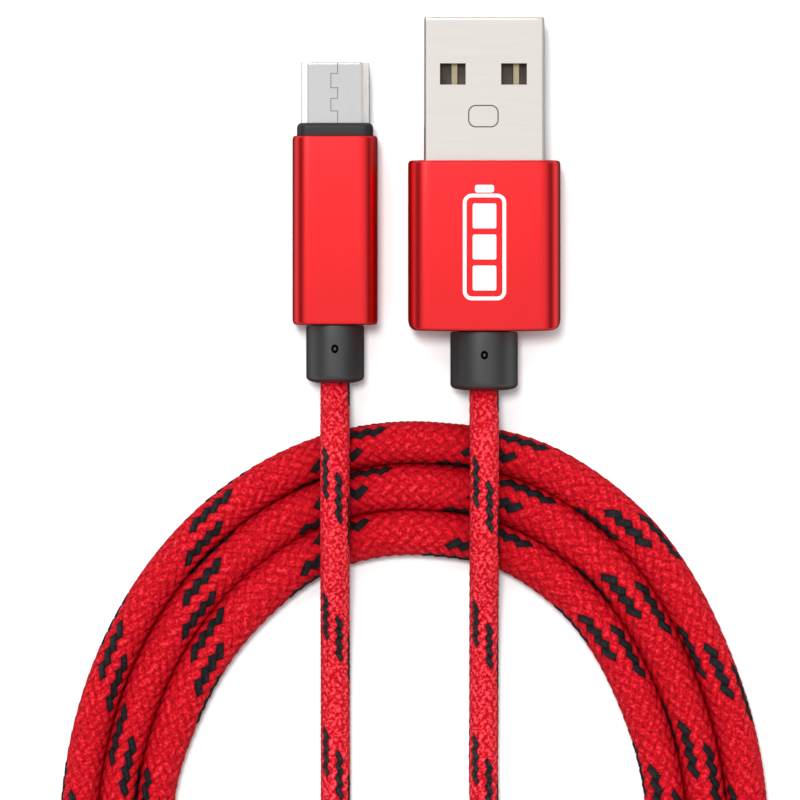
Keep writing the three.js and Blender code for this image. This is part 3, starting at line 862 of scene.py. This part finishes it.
def make_collar(prefix, neck_diameter, hole_diameter, mark_y):
    """A round moulded collar with a domed rear edge and a pin mark on top."""
    node_name = f"{prefix}_collar"
    low, high = limits(node_name)
    radius = (high.x - low.x) / 2
    neck_length = 0.9
    front, rear = high.y - neck_length, low.y
    hole = hole_diameter / 2
    neck = neck_diameter / 2
    profile = [
        (hole, rear + 0.1), (hole + 0.1, rear), (radius * 0.72, rear + 0.06),
        (radius - 0.42, rear + 0.18), (radius - 0.2, rear + 0.28), (radius - 0.06, rear + 0.42),
        (radius, rear + 0.62), (radius, rear + 0.9), (radius, front - 0.2),
        (radius - 0.03, front - 0.06), (radius - 0.1, front),
        (neck, front), (neck, front + neck_length), (hole, front + neck_length),
    ]
    rings = [ring(circle(r), y) for r, y in profile]
    axis = axis_of(node_name)
    obj = solid(node_name + "_moulding", [skin(rings, cyclic=True)], axis, COLLAR)
    depth = 0.5
    outer, inner = (
        [(x * across, mark_y + y * lengthwise) for x, y in circle(1, 28)]
        for across, lengthwise in ((0.37, 0.44), (0.13, 0.17))
    )
    mark = framed(outer, inner, radius - depth, radius + 1)
    # The ring of the pin mark takes the pitch-black material: painted shade.
    carve(obj, [solid("pin_mark_cutter", [mark], axis, PIT_SHADE)])
    return finish_piece(obj, COLLAR, replaces=(node_name,))


# ---------------------------------------------------------------- Type-A plug

# The windows and the dimple lie off the middle. The contacts are placed and sized as they show.
PRESSED_X = -0.09
CONTACT_PITCH_SHARE = 0.965
CONTACT_X = 0.13
CONTACT_WIDTH = 0.69


def shifted(outline, dx, dy):
    return [(x + dx, y + dy) for x, y in outline]


def slab(outline, low, high):
    """A flat plate of an outline in X and Y."""
    return skin([[(x, y, low) for x, y in outline], [(x, y, high) for x, y in outline]])


def make_type_a_shell():
    """The folded steel shell: a rounded mouth, two windows on each side and a pressed dimple."""
    node_name = "type_a_shell"
    low, high = limits(node_name)
    axis = axis_of(node_name)
    width, height = high.x - low.x, high.z - low.z
    wall, corner = 0.3, 0.28
    front, rear = high.y, low.y

    def section(inset, y):
        radius = max(corner - inset, 0.12)
        outline = rounded_rectangle(width - 2 * inset, height - 2 * inset, radius, 6)
        return ring(outline, y)

    rings = [
        section(wall, rear), section(0, rear), section(0, rear + 0.3), section(0, front - 0.4),
        section(0, front - 0.12), section(0.04, front - 0.04), section(0.11, front),
        section(wall - 0.07, front), section(wall, front - 0.1), section(wall, front - 0.4),
    ]
    shell = solid("type_a_shell_steel", [skin(rings, cyclic=True)], axis, SHELL_A)
    window_width, window_x, window_y = 2.56, 3.05, (11.87, 14.0)
    windows = [
        solid("window_cutter", [block(
            (PRESSED_X + x - window_width / 2, PRESSED_X + x + window_width / 2),
            window_y, (-height, height),
        )], axis, SHELL_A)
        for x in (-window_x, window_x)
    ]
    dimple_width, dimple_length, dimple_corner, dimple_y = 3.06, 2.26, 0.78, 8.73
    line, depth = 0.13, 0.14
    outline = rounded_rectangle(dimple_width, dimple_length, dimple_corner)
    inner = rounded_rectangle(
        dimple_width - 2 * line, dimple_length - 2 * line, dimple_corner - line
    )
    top = height / 2
    dimple = framed(
        shifted(outline, PRESSED_X, dimple_y), shifted(inner, PRESSED_X, dimple_y),
        top - depth, top + 1,
    )
    seam = block((-0.05, 0.05), (rear - 1, front + 1), (-top - 1, -top + depth))
    # The grooves' cut faces take the dark steel: painted shade.
    grooves = [
        solid("dimple_cutter", [dimple], axis, GROOVE_SHADE), solid("seam_cutter", [seam], axis, GROOVE_SHADE),
    ]
    carve(shell, windows + grooves)
    return finish_piece(shell, SHELL_A, replaces=(node_name,))


def make_type_a_contact(number):
    """A gold-plated strip that bows up to its contact line, with bevelled edges and a low end."""
    node_name = f"type_a_contact_{number}"
    low, high = limits(node_name)
    axis = axis_of("type_a_shell")
    middle = ((low.x + high.x) / 2 - axis[0]) * CONTACT_PITCH_SHARE + CONTACT_X
    top, bottom = high.z - axis[1], low.z - axis[1]
    half, edge, length = CONTACT_WIDTH / 2, 0.06, high.y - low.y

    def section(share, drop):
        outline = [
            (-half, bottom - drop), (half, bottom - drop), (half, top - edge - drop),
            (half - edge, top - drop), (-half + edge, top - drop), (-half, top - edge - drop),
        ]
        return [(middle + x, low.y + share * length, z) for x, z in outline]

    bow = ((0, 0.05), (0.3, 0.01), (0.6, 0), (0.85, 0.02), (0.97, 0.06), (1, 0.12))
    piece = solid(node_name + "_strip", [skin([section(*at) for at in bow])], axis, GOLD)
    return finish_piece(piece, GOLD, replaces=(node_name,))


def make_battery_mark():
    """A printed battery with three charge bars, on top of the Type-A housing."""
    low, high = limits("type_a_housing")
    axis = axis_of("type_a_housing")
    surface = (high.z - low.z) / 2
    under, above = surface - 0.01, surface + 0.02
    middle_y = -4.35
    width, length, corner, line = 4.3, 10.6, 0.9, 0.36
    outline = shifted(rounded_rectangle(width, length, corner), 0, middle_y)
    inner = rounded_rectangle(width - 2 * line, length - 2 * line, corner - line)
    inner = shifted(inner, 0, middle_y)
    parts = [framed(outline, inner, under, above)]
    cap = shifted(rounded_rectangle(1.9, 0.75, 0.25), 0, middle_y + length / 2 + 0.5)
    parts.append(slab(cap, under, above))
    bars, gap = 3, 0.62
    inside = length - 2 * line - 2 * gap
    bar_length = (inside - (bars - 1) * gap) / bars
    bar_width = width - 2 * line - 2 * gap
    for k in range(bars):
        y = middle_y - inside / 2 + bar_length / 2 + k * (bar_length + gap)
        bar = shifted(rounded_rectangle(bar_width, bar_length, 0.18), 0, y)
        parts.append(slab(bar, under, above))
    obj = solid("type_a_battery_mark", parts, axis)
    return finish_piece(obj, PRINT)


def make_type_a():
    make_type_a_shell()
    neck = 5.0
    make_housing(
        "type_a", corner=2.0, wall=0.7, neck_diameter=neck, bow=0.15, plan_corner=0.9, edge=0.22
    )
    make_collar("type_a", neck_diameter=neck, hole_diameter=3.4, mark_y=-15.1)
    make_battery_mark()
    for number in range(1, 5):
        make_type_a_contact(number)
    for cad_node, finish, slot_name, width in (
        ("type_a_contact_block", INSULATOR, "contact_block", 0.15),
        ("type_a_front_plate", BLACK_PART, "black_plastic", 0.05),
    ):
        piece = softened_copy(cad_node + "_look", cad_node, width)
        finish_piece(piece, finish, replaces=(cad_node,))


# ---------------------------------------------------------------- Micro-B plug

# The shell's seam, how far its tabs reach, and where each tab begins and ends.
SEAM_X = 0.25
SEAM_TAB_X = -0.42
SEAM_TABS = ((13.08, 11.65), (10.58, 9.33))

# The shell's section: half its width below and above the bevels, half its height, how high the
# bevels start, and how much of an inset moves the bevels.
MICRO_HALF_WIDTH = 3.425
MICRO_TOP_HALF_WIDTH = 2.7
MICRO_HALF_HEIGHT = 0.9
BEVEL_START = 0.05
BEVEL_INSET_SHARE = 0.4

LATCH_SLOT_HALF_WIDTH = 0.42
LATCH_SLOT_Y = (10.4, 13.1)
LATCH_SLOT_Z = (-2, -0.4)


def micro_corners(half, top_half, top, bevel_start):
    return [
        (half, -top), (half, bevel_start), (top_half, top),
        (-top_half, top), (-half, bevel_start), (-half, -top),
    ]


def micro_section(inset, radius):
    """The shell's section: full width below, and narrower above its two bevels."""
    bevel_inset = BEVEL_INSET_SHARE * inset
    corners = micro_corners(
        MICRO_HALF_WIDTH - inset, MICRO_TOP_HALF_WIDTH - bevel_inset,
        MICRO_HALF_HEIGHT - inset, BEVEL_START - bevel_inset,
    )
    return rounded_outline(corners, radius, 5)


def make_micro_shell():
    """The folded shell, with its interlocking seam on top and two latch slots underneath."""
    node_name = "micro_b_shell"
    low, high = limits(node_name)
    axis = axis_of(node_name)
    front, rear = high.y, low.y
    wall, line, depth, top, corner = 0.25, 0.1, 0.12, MICRO_HALF_HEIGHT, 0.40
    rings = [
        ring(micro_section(wall, 0.12), rear), ring(micro_section(0, corner), rear),
        ring(micro_section(0, corner), rear + 0.3), ring(micro_section(0, corner), front - 0.3),
        ring(micro_section(0, corner), front - 0.08),
        ring(micro_section(0.05, corner - 0.03), front),
        ring(micro_section(wall - 0.05, 0.14), front),
        ring(micro_section(wall, 0.12), front - 0.06),
        ring(micro_section(wall, 0.12), front - 0.3),
    ]
    shell = solid("micro_b_shell_steel", [skin(rings, cyclic=True)], axis, SHELL_B)

    def groove(x, y):
        limits_x = (min(x) - line / 2, max(x) + line / 2)
        limits_y = (min(y) - line / 2, max(y) + line / 2)
        # Each seam groove's cut faces take the darker steel: painted shade.
        return solid("seam_cutter", [block(limits_x, limits_y, (top - depth, top + 1))], axis, SEAM_SHADE)

    cutters = []
    y = front + 1
    for tab_front, tab_rear in SEAM_TABS:
        cutters.append(groove((SEAM_X, SEAM_X), (tab_front, y)))
        cutters.append(groove((SEAM_TAB_X, SEAM_X), (tab_front, tab_front)))
        cutters.append(groove((SEAM_TAB_X, SEAM_TAB_X), (tab_rear, tab_front)))
        cutters.append(groove((SEAM_TAB_X, SEAM_X), (tab_rear, tab_rear)))
        y = tab_rear
    cutters.append(groove((SEAM_X, SEAM_X), (rear - 1, y)))
    for side in ("left", "right"):
        hook_low, hook_high = limits(f"micro_b_latch_{side}")
        middle = (hook_low.x + hook_high.x) / 2 - axis[0]
        slot_x = (middle - LATCH_SLOT_HALF_WIDTH, middle + LATCH_SLOT_HALF_WIDTH)
        slot = block(slot_x, LATCH_SLOT_Y, LATCH_SLOT_Z)
        cutters.append(solid("slot_cutter", [slot], axis, SHELL_B))
    carve(shell, cutters)
    # The upper bevels get the brighter copy of the steel: a painted highlight.
    shell.data.materials.append(BEVEL_PAINTED_HIGHLIGHT)
    highlight_slot = len(shell.data.materials) - 1
    for face in shell.data.polygons:
        if abs(face.normal.x) > 0.4 and face.normal.z > 0.4:
            face.material_index = highlight_slot
    return finish_piece(shell, SHELL_B, replaces=(node_name,))


def make_micro_front_collar():
    """The black collar in front of the housing, with rounded front edges."""
    node_name = "micro_b_front_collar"
    low, high = limits(node_name)
    axis = axis_of(node_name)
    width, height = high.x - low.x, high.z - low.z
    front, rear = high.y, low.y
    corner, radius, steps = 1.1, 0.5, 6
    rings = [ring(rounded_rectangle(width, height, corner), rear)]
    for k in range(steps + 1):
        turn = math.pi / 2 * k / steps
        inset = radius * (1 - math.cos(turn))
        outline = rounded_rectangle(width - 2 * inset, height - 2 * inset, corner - inset)
        rings.append(ring(outline, front - radius * (1 - math.sin(turn))))
    obj = solid("micro_b_front_collar_moulding", [skin(rings)], axis)
    hole = [ring(micro_section(-0.1, 0.3), rear - 1), ring(micro_section(-0.1, 0.3), front + 1)]
    carve(obj, [solid("shell_cutter", [skin(hole)], axis)])
    return finish_piece(obj, BLACK_PART, replaces=(node_name,))


def make_micro_b():
    make_micro_shell()
    make_micro_front_collar()
    neck = 4.3
    make_housing(
        "micro_b", corner=1.7, wall=0.6, neck_diameter=neck, bow=0.05, plan_corner=0.3, edge=0.2
    )
    make_collar("micro_b", neck_diameter=neck, hole_diameter=3.4, mark_y=-14.47)
    softened = [(f"micro_b_contact_{i}", GOLD, "contacts", "root", 0.04) for i in range(1, 6)]
    softened += [
        ("micro_b_contact_block", INSULATOR, "contact_block", "root", 0.08),
        ("micro_b_latch_left", SPRING, "latch_spring", "latch_left", 0.05),
        ("micro_b_latch_right", SPRING, "latch_spring", "latch_right", 0.05),
    ]
    for cad_node, finish, slot_name, body, width in softened:
        piece = softened_copy(cad_node + "_look", cad_node, width)
        finish_piece(piece, finish, body, (cad_node,))


def finish_inner_nodes():
    """The nodes out of sight inside the housings keep their CAD shape and get their finishes."""
    for prefix in ("type_a", "micro_b"):
        finishes = {f"{prefix}_inner_mould": INNER_MOULD, f"{prefix}_jacket_end": JACKET}
        for i, wire in enumerate(WIRE_FINISHES, 1):
            finishes[f"{prefix}_wire_{i}"] = wire
        for cad_node, finish in finishes.items():
            obj = bpy.data.objects[cad_node]
            obj.data.materials.clear()
            obj.data.materials.append(finish)


make_type_a()
make_micro_b()
finish_inner_nodes()

# ---------------------------------------------------------------- floor and lights

FLOOR = material("floor", (0.90, 0.90, 0.90), 0.6, Specular_Ior_Level=0.2)


def make_floor():
    size = 3.0
    corners = [(-size, -size, 0), (size, -size, 0), (size, size, 0), (-size, size, 0)]
    floor = new_object("floor", mesh_of("floor", corners, [(0, 1, 2, 3)], smooth=False))
    floor.data.materials.append(FLOOR)
    floor.visible_glossy = False


def area_light(name, place, target, size, power, reflected=True):
    data = bpy.data.lights.new(name, "AREA")
    data.size = size
    data.energy = power
    light = bpy.data.objects.new(name, data)
    light.visible_glossy = reflected
    light.location = place
    light.rotation_euler = (Vector(target) - Vector(place)).to_track_quat("-Z", "Y").to_euler()
    bpy.context.scene.collection.objects.link(light)


# The studio's brightness by height: 1 is straight up, 0 is the horizon and -1 is straight down.
# To the left and the right there are dark screens, and there are none in front and behind.
STUDIO_SIDES = [
    (-1.0, 0.03), (-0.66, 0.04), (-0.42, 0.28), (-0.22, 0.56), (-0.05, 0.54), (0.14, 0.36),
    (0.32, 0.04), (0.58, 0.04), (0.86, 0.46), (1.0, 0.50),
]
STUDIO_ENDS = [
    (-1.0, 0.03), (-0.66, 0.04), (-0.42, 0.28), (-0.22, 0.56), (-0.05, 0.54), (0.14, 0.40),
    (0.32, 0.34), (0.58, 0.30), (0.86, 0.44), (1.0, 0.50),
]
SCREENS_FROM, SCREENS_FULL = 0.55, 0.80
STUDIO_STRENGTH = 2.0


def make_world():
    """A studio: bright overhead and round the horizon, with dark screens to the left and right."""
    world = bpy.data.worlds.new("studio")
    world.use_nodes = True
    place = node(world, "ShaderNodeTexCoord")
    split = node(world, "ShaderNodeSeparateXYZ")
    link(world, place.outputs["Generated"], split.inputs["Vector"])
    height = remapped(world, split.outputs["Z"], -1.0, 1.0)
    x_squared = arithmetic(world, "MULTIPLY", split.outputs["X"], split.outputs["X"])
    y_squared = arithmetic(world, "MULTIPLY", split.outputs["Y"], split.outputs["Y"])
    level_squared = arithmetic(world, "ADD", x_squared, y_squared)
    sideways = arithmetic(world, "DIVIDE", x_squared, level_squared)
    mix = node(world, "ShaderNodeMix", data_type="FLOAT")
    link(world, remapped(world, sideways, SCREENS_FROM, SCREENS_FULL), mix.inputs[0])
    for levels, socket in ((STUDIO_ENDS, mix.inputs[2]), (STUDIO_SIDES, mix.inputs[3])):
        ramp = node(world, "ShaderNodeValToRGB")
        stops = ramp.color_ramp.elements
        ramp.color_ramp.interpolation = "EASE"
        while len(stops) < len(levels):
            stops.new(0.5)
        for stop, (at, level) in zip(stops, levels):
            stop.position = (at + 1) / 2
            stop.color = (level, level, level, 1)
        link(world, height, ramp.inputs["Fac"])
        link(world, ramp.outputs["Color"], socket)
    background = world.node_tree.nodes["Background"]
    link(world, mix.outputs[0], background.inputs["Color"])
    background.inputs["Strength"].default_value = STUDIO_STRENGTH
    bpy.context.scene.world = world


LIT_PLACE = (0, -0.03, 0)

make_floor()
make_world()
area_light("overhead", (-0.07, 0.13, 1.0), LIT_PLACE, size=0.18, power=7.2, reflected=False)
area_light("front", (-0.25, 0.50, 0.85), LIT_PLACE, size=0.30, power=2.4)
bpy.context.scene.view_settings.view_transform = "Standard"
